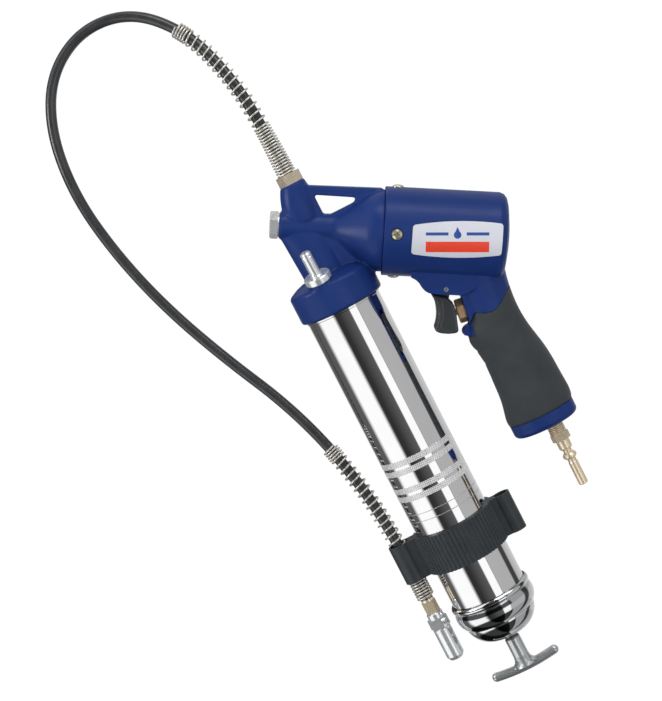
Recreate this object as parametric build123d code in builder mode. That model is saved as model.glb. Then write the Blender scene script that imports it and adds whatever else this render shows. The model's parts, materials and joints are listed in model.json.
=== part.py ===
"""Air-operated grease gun, lying on its side, as separate pieces. Millimetres, +Z up."""

import os
from math import cos, radians, sin, tan

from build123d import *

# ---------------------------------------------------------------- driving dimensions
REST_R = 32.2  # collar, motor housing and hose clip all reach this far down, so the gun lies level
BARREL_R = 28.575  # a 2 1/4 in tube, which takes a 14.5 oz cartridge
BARREL_WALL = 1.2
BARREL_END_X = 252.0
MOTOR_ANGLE = 60.0  # of the air motor's axis from the barrel's
MOTOR_BORE_R = 28.2
MOTOR_LENGTH = 90.8
PUMP_FRONT_U = -75.5  # front face of the pump, along the motor's axis from the joint face
PUMP_R = 10.0
PLUNGER_R = 3.5
PLUNGER_STROKE = 24.0
RUN_FIT = 0.05  # radial clearance of a shaft in its bore
GAP = 0.3  # between pieces that move apart

SCREW_U = 9.0  # four screws hold housing and head together
SCREW_R = 2.0
SCREW_HEAD_R = 4.2
SCREW_HEAD = 2.6
SCREW_SEATS = (31.2, 29.5, 31.2, 29.5)  # the two on the broad sides are sunk flush
LABEL_THICK = 0.45
LABEL_CENTRE = (52.0, -1.4)  # along and across the motor
LABEL_TURN = 3.0  # the label stands level when the barrel hangs down, so it is turned from the motor's axis

OUTLET_Y = 7.7
OUTLET_X = -96.7  # end face of the outlet boss
SEAM = (-36.4, 51.2)  # where the motor's axis crosses the joint face of head and housing
LOADER_BASE = (-27.0, -5.4, 24.0)
LOADER_LEAN = 15.0

GRIP_END_X = 134.5
BASE_END_X = 145.5
GRIP_WALL = 2.6
AIR_X = 147.5  # the air plug's thread ends here
AIR_Y = 98.9  # axis of the air inlet
TRIGGER_PIN = (20.7, 72.6)
VALVE_FACE = (41.7, 77.8)
VALVE_TILT = 9.0
VALVE_STEM_R = 2.4
TRIGGER_PIN_R = 1.7
BRACKET_HALF = 17.0  # half the thickness of the bracket that carries the trigger
NECK_HALF = 13.5  # half the thickness of the handle's squared neck

CLIP_X = (175.9, 205.9)
EAR_Y = -43.3  # the ear that holds the hose
EAR_BORE_R = 7.1
SPARE_EAR_Y = 40.3
SPARE_BORE_R = 5.2

ROD_R = 4.0
STEM_X = 277.3  # where the T-handle's stem starts
T_BAR_X = 301.8
T_BAR_R = 3.5
T_BAR_HALF = 27.2
T_BAR_BOW = 1.8

HOSE_R = 4.0
HOSE_BORE_R = 2.25
GUARD_BORE_R = 4.85
GUARD_R = 6.6
GUARD_END_R = 7.0

# ---------------------------------------------------------------- frames
# GUN: X down the barrel from the collar to the T-handle, Y towards the pistol handle.
GUN = Plane(origin=(-93.5, -44.8, REST_R))


def gun_point(x, y, z=0.0):
    """A point given from the barrel's axis at the collar's open edge."""
    return GUN.from_local_coords(Vector(x, y, z))


def plane_along(start, direction):
    """A plane that lies flat, with its X axis along a level direction."""
    return Plane(origin=start, x_dir=direction, z_dir=(0, 0, 1))


def across(plane, distance, side=0.0):
    """The plane square to another plane's X axis, at a distance along it."""
    origin = plane.from_local_coords(Vector(distance, side, 0))
    return Plane(origin=origin, x_dir=plane.y_dir, z_dir=plane.x_dir)


def spin_axis(plane):
    return Axis(plane.origin, plane.x_dir)


MOTOR_DIR = (cos(radians(MOTOR_ANGLE)), sin(radians(MOTOR_ANGLE)), 0)
MOTOR = plane_along(gun_point(*SEAM), MOTOR_DIR)
LABEL_ANGLE = radians(MOTOR_ANGLE + LABEL_TURN)
LABEL = plane_along(MOTOR.from_local_coords(Vector(*LABEL_CENTRE, 0)), (cos(LABEL_ANGLE), sin(LABEL_ANGLE), 0))
OUTLET = plane_along(gun_point(OUTLET_X, OUTLET_Y), (-1, 0, 0))
AIR = plane_along(gun_point(AIR_X, AIR_Y), (1, 0, 0))
HOSE_EAR = plane_along(gun_point(0, EAR_Y), (1, 0, 0))
VALVE_OUT = (-sin(radians(VALVE_TILT)), -cos(radians(VALVE_TILT)), 0)
VALVE = plane_along(gun_point(*VALVE_FACE), VALVE_OUT)
LEAN = radians(LOADER_LEAN)
LOADER = Plane(
    origin=gun_point(*LOADER_BASE), x_dir=(-cos(LEAN), 0, sin(LEAN)), z_dir=(sin(LEAN), 0, cos(LEAN))
)
SCREW_CENTRE = MOTOR.from_local_coords(Vector(SCREW_U, 0, 0))
SCREW_PLANES = [
    Plane(origin=SCREW_CENTRE, x_dir=direction, z_dir=MOTOR.x_dir)
    for direction in (MOTOR.y_dir, MOTOR.z_dir, -MOTOR.y_dir, -MOTOR.z_dir)
]


# ---------------------------------------------------------------- sketch helpers
def outline(*points):
    """A closed face from corner points, in the sketch that is open."""
    with BuildLine() as edge:
        Polyline(*points, close=True)
    make_face(edge.edges())


def turned(plane, *points):
    """Turn a (length, radius) outline about a plane's X axis, in the part that is open."""
    with BuildSketch(plane) as profile:
        outline(*points)
    revolve(profile.sketch, axis=spin_axis(plane))


def tube(plane, start, end, outer, inner):
    """A plain tube or ring about a plane's X axis, in the part that is open."""
    with BuildSketch(across(plane, start)) as section:
        Circle(outer)
        if inner > 0:
            Circle(inner, mode=Mode.SUBTRACT)
    extrude(section.sketch, amount=end - start)


def bore(plane, start, end, radius):
    """A round hole about a plane's X axis."""
    with BuildSketch(across(plane, start)) as section:
        Circle(radius)
    extrude(section.sketch, amount=end - start, mode=Mode.SUBTRACT)


def hexagon(plane, start, end, across_flats, turn=0.0):
    """A hexagonal prism about a plane's X axis."""
    with BuildSketch(across(plane, start)) as section:
        RegularPolygon(across_flats / 2, 6, major_radius=False, rotation=turn)
    extrude(section.sketch, amount=end - start)


def slab(plane, half, *points, mode=Mode.ADD):
    """A flat outline in a level plane, as thick on one side as on the other."""
    with BuildSketch(plane) as face:
        outline(*points)
    extrude(face.sketch, amount=half, both=True, mode=mode)


# ---------------------------------------------------------------- head casting
with BuildPart() as head_casting:
    # oval neck between collar and pump, narrowing towards the pump and ending on its axis
    for x, half_y, half_z in ((-24, 15.8, 15.5), (-80, 18.6, 6.2)):
        with BuildSketch(across(GUN, x)):
            Ellipse(half_y, half_z)
    loft()
    split(bisect_by=Plane(origin=MOTOR.from_local_coords(Vector(0, -3, 0)), z_dir=MOTOR.y_dir), keep=Keep.BOTTOM)
    split(bisect_by=across(MOTOR, PUMP_FRONT_U + 1.5), keep=Keep.TOP)
    # collar that screws over the barrel
    turned(
        GUN, (-1.2, 0), (-1.2, 30.6), (-1.8, 31.8), (-2.8, REST_R), (-20.8, REST_R), (-22.2, 31.6),
        (-23.4, 30.0), (-25.8, 25.0), (-27.4, 20.0), (-27.8, 0),
    )  # fmt: skip
    # pump body, cone, joint flange and the spigot that enters the housing
    turned(
        MOTOR, (PUMP_FRONT_U, 0), (PUMP_FRONT_U, 9.2), (PUMP_FRONT_U + 0.8, PUMP_R), (-38, PUMP_R),
        (-35.5, 10.5), (-32.5, 12.0), (-15.0, 24.6), (-11.4, 26.9), (-8.0, 28.5), (-4.5, 29.5),
        (-1.5, 29.8), (0, 29.8), (0, 28.1), (15, 28.1), (15, 17), (2, 17), (2, 0),
    )  # fmt: skip
    # outlet boss, wider where it meets the pump
    for x, y, half_y, half_z in ((OUTLET_X, OUTLET_Y, 9.4, 9.2), (-84.5, 5.6, 12.6, 11.2), (-68, 3.6, 12.4, 10.0)):
        with BuildSketch(across(GUN, x, y)):
            Ellipse(half_y, half_z)
    loft()
    # web from the outlet boss to the flange, with its window
    slab(GUN, 6.5, (-93, 16.9), (-90.8, 17.0), (-64.2, 64.6), (-58, 64), (-44, 48), (-62, 4), (-88, 8))
    # web that fills the corner between neck, cone and collar
    slab(GUN, 8.5, (-52, 12), (-25.0, 12), (-23.4, 29.6), (-30.4, 29.0))
    with BuildSketch(GUN) as window:
        outline((-82.6, 18.1), (-66.9, 44.6), (-64.3, 41.5), (-64.3, 23.1), (-66.9, 18.1))
        fillet(window.vertices(), 1.3)
    extrude(amount=20, both=True, mode=Mode.SUBTRACT)
    # seat of the loader nipple
    tube(LOADER, -9, 0, 8.6, 0)
    # inside: barrel socket, pump bore, plug hole, inlet and outlet passages, screw holes
    bore(GUN, -20, 0, BARREL_R + 0.1)
    bore(MOTOR, -61, 3, PLUNGER_R + RUN_FIT)
    bore(MOTOR, -8, 3, 7.0)
    bore(MOTOR, PUMP_FRONT_U - 1, -61, 6.5)
    bore(GUN, -65.7, -19, 3.5)
    bore(OUTLET, -14, 1, 5.05)
    check_room = plane_along(gun_point(-82, OUTLET_Y), (12.6, -13.4, 0))
    bore(check_room, -2, 16, 2.0)
    bore(LOADER, -24, 1, 3.0)
    for radial in SCREW_PLANES:
        bore(radial, 16, 30, SCREW_R - 0.02)

# ---------------------------------------------------------------- motor housing with the handle frame
# front and back of the handle and half its width, down the barrel's direction
HANDLE_SECTIONS = (
    (21, 81.0, 119.2, 17.0), (32, 79.3, 116.6, 17.5), (42, 77.9, 114.9, 17.7),
    (51, 75.9, 114.0, 17.8), (59, 72.0, 113.8, 17.7), (67, 70.8, 114.3, 17.6), (79, 73.0, 116.2, 18.0),
    (91, 73.2, 118.5, 18.6), (105, 72.4, 119.8, 19.0), (120, 70.6, 120.5, 19.3), (GRIP_END_X, 69.0, 119.2, 19.3),
)  # fmt: skip
SLEEVE_EDGE = (
    (60.6, 76.5), (54.3, 77.2), (50.0, 78.9), (46.8, 81.6), (45.9, 84.6), (48.2, 89.5), (49.7, 95.0),
    (48.9, 99.6), (45.6, 105.4), (38.6, 116.5), (34.0, 128.0),
)  # fmt: skip


def handle_body(inset, mode=Mode.ADD):
    """Oval body of the handle, drawn in by an inset."""
    sections = []
    for x, front, back, half_width in HANDLE_SECTIONS:
        with BuildSketch(across(GUN, x, (front + back) / 2)) as section:
            Ellipse((back - front) / 2 - inset, half_width - inset)
        sections.append(section.sketch)
    loft(sections, mode=mode)


def sleeve_room(mode):
    """The space of the grip sleeve: all of the handle below the sleeve's top edge."""
    slab(GUN, 30, *SLEEVE_EDGE, (GRIP_END_X, 128), (GRIP_END_X, 60), (60.6, 60), mode=mode)


with BuildPart() as grip_sleeve:
    handle_body(0)
    sleeve_room(Mode.INTERSECT)
    handle_body(GRIP_WALL, mode=Mode.SUBTRACT)


def label_plate(side, top):
    """Thin plate on the motor's side, its long edges bowed, in the part that is open."""
    with BuildSketch(LABEL) as face:
        with BuildLine() as edge:
            ThreePointArc((-31.5, 10.4), (0.3, 13.1), (32.7, 11.2))
            Line((32.7, 11.2), (31.3, -11.2))
            ThreePointArc((31.3, -11.2), (-0.3, -13.1), (-32.8, -10.4))
            Line((-32.8, -10.4), (-31.5, 10.4))
        make_face(edge.edges())
        fillet(face.vertices(), 2.4)
    extrude(face.sketch, amount=side * 40)
    with BuildSketch(across(MOTOR, 10)) as skin:
        Circle(top)
        Circle(REST_R - LABEL_THICK, mode=Mode.SUBTRACT)
    extrude(skin.sketch, amount=80, mode=Mode.INTERSECT)


with BuildPart() as label_near:
    label_plate(1, REST_R - 0.05)

with BuildPart() as label_far:
    label_plate(-1, REST_R - 0.05)

label_pockets = []
for side in (1, -1):
    with BuildPart() as pocket:
        label_plate(side, REST_R + 1)
    label_pockets.append(pocket.part)

with BuildPart() as handle_neck:
    slab(GUN, NECK_HALF, (29.6, 80.2), (50.6, 76.9), (45.2, 83.2), (44.0, 92.0), (24.0, 98.0))
    front_face = faces().sort_by(Axis.Y)[0]
    fillet(front_face.edges().filter_by(Axis.Z, reverse=True), 2.5)

with BuildPart() as motor_housing:
    handle_body(0)
    sleeve_room(Mode.SUBTRACT)
    handle_body(GRIP_WALL)
    # foot of the handle, flush with the sleeve
    with BuildSketch(across(GUN, GRIP_END_X, 94.1)):
        Ellipse(25.1, 19.3)
    extrude(amount=BASE_END_X - GRIP_END_X)
    fillet(faces().sort_by(Axis.X)[-1].edges(), 4.0)
    # motor barrel with its domed rear end
    turned(
        MOTOR, (0, 0), (0, 31.7), (0.5, REST_R), (82.4, REST_R), (85.6, 31.0), (87.6, 28.6), (88.8, 24.5),
        (90.2, 14), (MOTOR_LENGTH, 0),
    )  # fmt: skip
    # bracket that carries the trigger
    slab(
        MOTOR, BRACKET_HALF, (20, -26), (21.6, -31.6), (24.8, -33.0), (27.2, -35.0), (29.6, -38.4), (32.0, -40.7),
        (34.6, -42.0), (37.6, -42.5), (58.6, -42.6), (80, -30), (60, -20),
    )  # fmt: skip
    add(handle_neck.part)
    # catch below the valve, which stops a finger sliding behind the trigger
    slab(
        GUN, 6.0, (51.4, 77.6), (52.5, 75.8), (52.6, 73.8), (53.2, 71.6), (54.4, 69.9), (56.0, 69.0), (58.0, 69.6),
        (59.7, 71.8), (60.2, 74.6), (60.2, 76.3),
    )  # fmt: skip
    # inside: cylinder, trigger slot and pin hole, valve chamber, air passages, label and screw seats
    bore(MOTOR, -1, 84, MOTOR_BORE_R)
    slab(MOTOR, 6.4, (34.0, -33.0), (57.5, -33.0), (57.5, -46), (34.0, -46), mode=Mode.SUBTRACT)
    with BuildSketch(Plane(origin=gun_point(*TRIGGER_PIN))):
        Circle(TRIGGER_PIN_R)
    extrude(amount=20, both=True, mode=Mode.SUBTRACT)
    bore(VALVE, 0, 4, 9.6)
    bore(VALVE, -12.7, 3, 6.5)
    bore(VALVE, -31, -12, 5.2)
    bore(AIR, -14, 1, 6.25)
    bore(AIR, -103.5, -13, 3.5)
    transfer = plane_along(gun_point(44.2, 98.9), (-1, 0.35, 0))
    bore(transfer, 0, 32, 2.5)
    for radial, seat in zip(SCREW_PLANES, SCREW_SEATS):
        bore(radial, 26, 34, SCREW_R + 0.15)
        bore(radial, seat, 34, SCREW_HEAD_R + 0.3)
    add(label_pockets, mode=Mode.SUBTRACT)


with BuildPart() as housing_screws:
    for radial, seat in zip(SCREW_PLANES, SCREW_SEATS):
        tube(radial, seat - 13, seat, SCREW_R - 0.02, 0)
        turned(
            radial, (seat, 0), (seat, SCREW_HEAD_R), (seat + 1.3, SCREW_HEAD_R), (seat + 2.0, 3.6),
            (seat + SCREW_HEAD, 2.2), (seat + SCREW_HEAD, 0),
        )  # fmt: skip
        with BuildSketch(across(radial, seat + 1.0)) as cross:
            Rectangle(4.6, 0.9)
            Rectangle(0.9, 4.6)
        extrude(cross.sketch, amount=3, mode=Mode.SUBTRACT)

# ---------------------------------------------------------------- fittings of the head
with BuildPart() as loader_nipple:
    turned(
        LOADER, (-8, 0), (-8, 2.98), (0, 2.98), (0, 9.4), (0.7, 10.0), (4.4, 10.0), (5.1, 9.3), (5.1, 4.9),
        (5.9, 4.1), (20.4, 4.1), (21.0, 3.7), (21.6, 4.1), (22.9, 4.1), (24.0, 3.0), (24.0, 0),
    )  # fmt: skip
    bore(LOADER, -9, 25, 1.3)

with BuildPart() as outlet_check_plug:
    hexagon(MOTOR, PUMP_FRONT_U - 6.8, PUMP_FRONT_U - 0.8, 17.6, turn=6)
    tube(MOTOR, PUMP_FRONT_U - 0.8, PUMP_FRONT_U, 9.0, 0)
    tube(MOTOR, PUMP_FRONT_U, -64, 6.45, 0)
    bore(MOTOR, -72, -63, 4.3)
    chamfer(faces().sort_by(Axis(MOTOR.origin, MOTOR.x_dir))[0].edges(), 0.9)

CHECK_BALL_R = 3.6
CHECK_BALL_U = -62.75
with BuildPart() as outlet_check_ball:
    with Locations(MOTOR.from_local_coords(Vector(CHECK_BALL_U, 0, 0))):
        Sphere(CHECK_BALL_R)

with BuildPart() as outlet_check_spring:
    tube(MOTOR, -71.8, -66.6, 3.2, 2.2)

with BuildPart() as packing_nut:
    tube(MOTOR, -1.0, 2.0, 6.95, 0)
    hexagon(MOTOR, 2.0, 7.0, 17.0)
    bore(MOTOR, -2, 8, PLUNGER_R + GAP)

with BuildPart() as plunger_packing:
    tube(MOTOR, -7.9, -1.1, 6.95, PLUNGER_R + RUN_FIT)

# ---------------------------------------------------------------- air motor
PISTON_U = (74.0, 83.0)
with BuildPart() as air_piston:
    turned(
        MOTOR, (PISTON_U[0], 0), (PISTON_U[0], 27.4), (PISTON_U[0] + 0.5, 27.9), (76.9, 27.9), (76.9, 25.0),
        (80.1, 25.0), (80.1, 27.9), (PISTON_U[1] - 0.5, 27.9), (PISTON_U[1], 27.4), (PISTON_U[1], 0),
    )  # fmt: skip
    bore(MOTOR, PISTON_U[0] - 1, PISTON_U[0] + 5, PLUNGER_R)

with BuildPart() as piston_seal:
    tube(MOTOR, 77.0, 80.0, MOTOR_BORE_R - RUN_FIT, 25.05)

with BuildPart() as plunger:
    tube(MOTOR, -34, PISTON_U[0] + 5, PLUNGER_R, 0)

with BuildPart() as return_spring:
    tube(MOTOR, 7.4, PISTON_U[0] - 0.3, 12.0, 9.6)

# ---------------------------------------------------------------- trigger and air valve
with BuildPart() as trigger:
    slab(
        GUN, 10.0, (20.0, 61.3), (24.0, 61.6), (27.6, 61.2), (31.0, 60.2), (34.4, 58.9), (37.6, 57.2),
        (40.6, 55.0), (42.8, 52.9), (44.2, 52.1), (45.8, 52.4), (47.6, 53.8), (49.6, 56.4), (51.4, 59.4),
        (52.8, 62.6), (53.6, 65.2), (53.2, 66.8), (52.0, 67.7), (47.0, 69.3), (40.8, 71.6), (34.2, 73.0), (26.8, 70.4),
    )  # fmt: skip
    fillet(faces().filter_by(Axis.Z).edges(), 1.5)
    slab(
        GUN, 8.3, (28.5, 66.4), (35.0, 63.4), (40.5, 60.6), (45.0, 58.8), (49.0, 60.8), (58, 62.0), (58, 80),
        (27, 80), mode=Mode.SUBTRACT,
    )  # fmt: skip
    # hub between the bracket's cheeks
    slab(GUN, 6.0, (17.4, 70.0), (21.8, 62.4), (29.5, 70.8), (24.0, 75.2))
    with BuildSketch(Plane(origin=gun_point(*TRIGGER_PIN))) as hub:
        Circle(4.4)
    extrude(hub.sketch, amount=6.0, both=True)
    with BuildSketch(Plane(origin=gun_point(*TRIGGER_PIN))) as hub_hole:
        Circle(TRIGGER_PIN_R + RUN_FIT)
    extrude(hub_hole.sketch, amount=20, both=True, mode=Mode.SUBTRACT)

with BuildPart() as trigger_pin:
    with BuildSketch(Plane(origin=gun_point(*TRIGGER_PIN))):
        Circle(TRIGGER_PIN_R)
        Circle(0.8, mode=Mode.SUBTRACT)
    extrude(amount=BRACKET_HALF - 0.2, both=True)

with BuildPart() as valve_nut:
    hexagon(VALVE, 0, 5.6, 15.6)
    tube(VALVE, -10, 0, 6.45, 0)
    bore(VALVE, -11, 6, VALVE_STEM_R + RUN_FIT)
    chamfer(faces().sort_by(Axis(VALVE.origin, VALVE.x_dir))[-1].edges().filter_by(GeomType.LINE), 0.8)

with BuildPart() as valve_seat:
    tube(VALVE, -12.7, -10.1, 6.45, VALVE_STEM_R + 0.6)

with BuildPart() as valve_stem:
    turned(
        VALVE, (-20, 0), (-20, 2.0), (-16, 2.0), (-16, 4.6), (-13.05, 4.6), (-13.05, VALVE_STEM_R),
        (14.9, VALVE_STEM_R), (15.75, 1.6), (15.75, 0),
    )  # fmt: skip

with BuildPart() as valve_spring:
    tube(VALVE, -30.8, -16.3, 4.2, 2.4)

THREAD_PITCH = 1.4
with BuildPart() as air_plug:
    ridges = []
    for ridge in range(6):
        start = -1.6 + ridge * THREAD_PITCH
        ridges += [(start, 5.75 + 0.04 * ridge), (start + THREAD_PITCH / 2, 6.3 + 0.04 * ridge)]
    turned(
        AIR, (-13.6, 0), (-13.6, 5.8), (-12.8, 6.2), (-2.4, 6.2), *ridges, (6.8, 5.6), (7.2, 5.6), (7.2, 6.2),
        (12.6, 6.2), (12.8, 5.1), (19.0, 5.1), (20.0, 4.4), (20.8, 3.5), (22.6, 3.2), (23.8, 4.4), (25.0, 5.3),
        (26.6, 5.3), (27.6, 4.4), (28.3, 3.3), (30.6, 3.2), (31.4, 3.6), (48.8, 3.6), (49.4, 3.1), (49.4, 0),
    )  # fmt: skip
    hexagon(AIR, 7.2, 12.6, 12.4, turn=12)
    bore(AIR, -14, 50, 2.1)

with BuildPart() as inlet_strainer:
    tube(AIR, -24, -14.0, 3.3, 2.7)
    tube(AIR, -24.8, -24, 3.3, 0)

# ---------------------------------------------------------------- barrel, follower and end cap
with BuildPart() as barrel_gasket:
    tube(GUN, -20, -18, BARREL_R, 26.0)

with BuildPart() as barrel_tube:
    inner = BARREL_R - BARREL_WALL
    turned(
        GUN, (-18, inner), (-18, BARREL_R), (-1.1, BARREL_R), (-0.8, 29.2), (0.3, 29.2), (0.7, BARREL_R),
        (BARREL_END_X, BARREL_R), (BARREL_END_X, inner),
    )  # fmt: skip

with BuildPart() as end_cap:
    with BuildSketch(GUN) as profile:
        with BuildLine() as edge:
            # outside: bead, rounded skirt, groove and dome
            Line((237.5, 28.7), (237.5, 30.0))
            ThreePointArc((237.5, 30.0), (239.9, 31.3), (242.4, 30.1))
            ThreePointArc((242.4, 30.1), (249.6, 31.2), (257.4, 27.2))
            Line((257.4, 27.2), (258.4, 27.2))
            ThreePointArc((258.4, 27.2), (268.4, 21.6), (272.8, 6.05))
            # inside, back to the rim
            Line((272.8, 6.05), (271.6, 6.05))
            ThreePointArc((271.6, 6.05), (267.4, 20.3), (262.2, 24.6))
            Polyline((262.2, 24.6), (258.0, 25.8), (256.4, 26.2), (255.0, 27.6), (254.0, 28.7), (237.5, 28.7))
        make_face(edge.edges())
    revolve(profile.sketch, axis=spin_axis(GUN))

with BuildPart() as rod_bushing:
    turned(GUN, (268, 4.05), (268, 6.0), (273.2, 6.0), (273.7, 5.0), (276.6, 5.0), (276.6, 4.05))

PLATE_X = (-4.6, -3.0)
with BuildPart() as follower_plate:
    tube(GUN, *PLATE_X, 26.6, ROD_R + RUN_FIT)

with BuildPart() as follower_cup:
    turned(
        GUN, (-16.5, 24.8), (-16.5, 27.3), (-9, 27.3), (PLATE_X[0], 26.8), (PLATE_X[0], 10.0), (-8, 10.0),
        (-8.6, 22.6),
    )  # fmt: skip

with BuildPart() as follower_spring:
    tube(GUN, PLATE_X[1], 262.0, 24.2, 21.6)

with BuildPart() as follower_rod:
    tube(GUN, -10, STEM_X + 10, ROD_R, 0)

with BuildPart() as rod_stop:
    tube(GUN, -9.4, PLATE_X[0] - 0.5, 8.0, ROD_R)

with BuildPart() as t_handle:
    with BuildLine() as bow:
        ThreePointArc(
            gun_point(T_BAR_X - T_BAR_BOW, -T_BAR_HALF + T_BAR_R), gun_point(T_BAR_X, 0),
            gun_point(T_BAR_X - T_BAR_BOW, T_BAR_HALF - T_BAR_R),
        )  # fmt: skip
    with BuildSketch(Plane(origin=bow.line @ 0, z_dir=bow.line % 0)) as bar:
        Circle(T_BAR_R)
    sweep(bar.sketch, path=bow.line)
    for end in (0, 1):
        with Locations(bow.line @ end):
            Sphere(T_BAR_R)
    turned(
        GUN, (STEM_X, 0), (STEM_X, 5.6), (STEM_X + 0.4, 5.9), (292, 5.9), (294.8, 6.3), (297.0, 7.2), (298.6, 8.8),
        (299.8, 9.4), (302.0, 3.0), (302.0, 0),
    )  # fmt: skip
    bore(GUN, STEM_X - 1, STEM_X + 10, ROD_R)

with BuildPart() as hose_clip:
    with BuildSketch(across(GUN, CLIP_X[0])):
        Circle(REST_R - 0.9)
        with PolarLocations(REST_R - 1.0, 60):
            Circle(1.0)
        for side, ear_r, neck in ((EAR_Y, 8.4, 6.4), (SPARE_EAR_Y, 6.9, 5.2)):
            with Locations((side, 0)):
                Circle(ear_r)
            with Locations((side * 0.8, 0)):
                Rectangle(abs(side) * 0.4, 2 * neck)
        Circle(BARREL_R + 0.1, mode=Mode.SUBTRACT)
        with Locations((EAR_Y, 0)):
            Circle(EAR_BORE_R, mode=Mode.SUBTRACT)
        with Locations((SPARE_EAR_Y, 0)):
            Circle(SPARE_BORE_R, mode=Mode.SUBTRACT)
    extrude(amount=CLIP_X[1] - CLIP_X[0])

# ---------------------------------------------------------------- whip hose
# The route starts at the head's hose nut, sags to the ground in its loop and comes up to the ear.
ROUTE = (
    (-104.6, 7.7, 0), (-146, 7.7, 0), (-188, 2.5, -4), (-228, -11, -11), (-259, -40, -21), (-265, -79, -28),
    (-246, -114, -28), (-209, -134, -28), (-160, -140, -28), (-108, -133, -28), (-56, -118.5, -27.5),
    (-4, -97, -24.5), (50, -70, -18), (104, -52.5, -8.5), (163, EAR_Y, 0), (222, EAR_Y, 0),
)  # fmt: skip
HOSE_NUT = 7.6  # thickness of the nut
GUARD_HEAD_END = (-234, -14.5, -12.5)
GUARD_COUPLER_END = (93, -55.5, -10)


def arc_radii(points):
    """Radius of each corner: 0.45 of the shorter run beside it, over the tangent of half the turn."""
    radii = []
    for before, corner, after in zip(points, points[1:], points[2:]):
        run, next_run = corner - before, after - corner
        shorter = min(run.length, next_run.length)
        radii.append(0.45 * shorter / tan(radians(run.get_angle(next_run) / 2)))
    return radii


route_points = [gun_point(*point) for point in ROUTE]
radii = arc_radii(route_points)
print("hose radii", [round(radius) for radius in radii])
with BuildLine() as route:
    FilletPolyline(*route_points, radius=radii)
spans = route.wires()[0].order_edges()
print("hose length", round(route.wires()[0].length, 1))


def sleeve_along(edges, outer, inner):
    """A round tube along part of the hose's route, in the part that is open."""
    path = Wire(edges)
    with BuildSketch(Plane(origin=path @ 0, z_dir=path % 0)) as section:
        Circle(outer)
        Circle(inner, mode=Mode.SUBTRACT)
    sweep(section.sketch, path=path)
    print("tube volume over section times length", part_ratio(outer, inner, path))


def part_ratio(outer, inner, path):
    section = 3.14159265 * (outer**2 - inner**2)
    return round(BuildPart._get_context().part.volume / (section * path.length), 4)


with BuildPart() as hose:
    sleeve_along(spans, HOSE_R, HOSE_BORE_R)

with BuildPart() as spring_guard_head:
    sleeve_along(spans[:7], GUARD_R, GUARD_BORE_R)
    split(bisect_by=Plane(origin=gun_point(*GUARD_HEAD_END), z_dir=(0.92, 0.36, 0.17)), keep=Keep.TOP)

with BuildPart() as spring_guard_coupler:
    sleeve_along(spans[-5:], GUARD_R, GUARD_BORE_R)
    split(bisect_by=Plane(origin=gun_point(*GUARD_COUPLER_END), z_dir=(0.95, 0.28, 0.14)), keep=Keep.TOP)

with BuildPart() as hose_nut:
    hexagon(OUTLET, 0, HOSE_NUT, 16.0, turn=8)
    tube(OUTLET, -12, 0, 5.0, 0)
    tube(OUTLET, HOSE_NUT, HOSE_NUT + 14, HOSE_BORE_R - 0.02, 0)
    bore(OUTLET, -13, HOSE_NUT + 15, 1.3)

with BuildPart() as hose_ferrule_head:
    tube(OUTLET, HOSE_NUT + 0.3, HOSE_NUT + 16, 4.7, HOSE_R + 0.02)

with BuildPart() as hose_ferrule_coupler:
    tube(HOSE_EAR, 205, 222, 4.7, HOSE_R + 0.02)

with BuildPart() as coupler_adapter:
    tube(HOSE_EAR, 206, 222.2, HOSE_BORE_R - 0.02, 0)
    tube(HOSE_EAR, 222.2, 224, 4.9, 0)
    hexagon(HOSE_EAR, 224, 233.6, 9.4)
    tube(HOSE_EAR, 233.6, 244, 4.0, 0)
    bore(HOSE_EAR, 205, 245, 1.3)

with BuildPart() as coupler_body:
    turned(HOSE_EAR, (233.8, 0), (233.8, 5.6), (234.4, 6.2), (238.6, 6.2), (238.6, 0))
    hexagon(HOSE_EAR, 238.6, 246.0, 13.6, turn=10)
    tube(HOSE_EAR, 246.0, 262.0, 4.9, 0)
    bore(HOSE_EAR, 233, 244, 4.0)
    bore(HOSE_EAR, 243, 263, 1.6)

with BuildPart() as coupler_sleeve:
    turned(
        HOSE_EAR, (246.3, 5.2), (246.3, 6.5), (246.8, 6.9), (269.8, 6.9), (271.8, 5.7), (272.5, 5.2),
        (272.5, 4.3), (271.0, 4.3), (271.0, 5.2),
    )  # fmt: skip

with BuildPart() as coupler_seal:
    tube(HOSE_EAR, 262.1, 264.3, 4.9, 1.6)

with BuildPart() as coupler_jaws:
    tube(HOSE_EAR, 264.5, 270.8, 5.1, 3.4)
    for turn in range(3):
        slot = across(HOSE_EAR, 264).rotated((0, 0, 120 * turn))
        with BuildSketch(slot) as gap:
            with Locations((4.5, 0)):
                Rectangle(5, 0.7)
        extrude(gap.sketch, amount=8, mode=Mode.SUBTRACT)

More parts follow.
